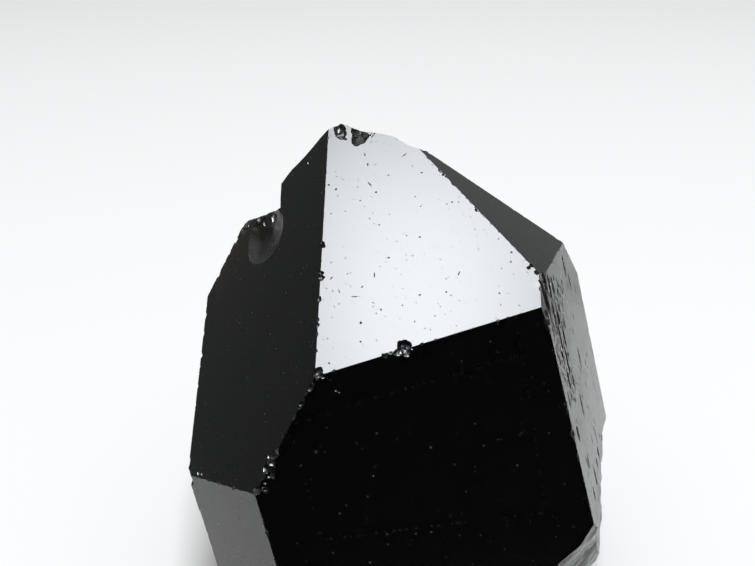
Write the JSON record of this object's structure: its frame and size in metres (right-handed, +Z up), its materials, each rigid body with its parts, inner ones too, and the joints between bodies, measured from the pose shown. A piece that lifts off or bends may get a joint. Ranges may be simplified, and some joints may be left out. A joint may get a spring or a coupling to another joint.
{
  "type": "raw morion quartz crystal",
  "caption": "Raw smoky-black quartz crystal with flat prism and tip faces and a chipped, broken tip, cut flat underneath so that it stands by itself as a display specimen.",
  "frame": {"origin": "centre of the bounding box's underside, on the flat cut base", "axes": "+Z up from the flat base, +Y away from the broad front face, +X to the right as that face is looked at"},
  "size_m": [0.0432, 0.0404, 0.046],
  "materials": {
    "morion": "glassy, nearly opaque smoky black-brown, brown and see-through at thin edges"
  },
  "bodies": {
    "root": {"crystal": "morion"}
  },
  "joints": []
}
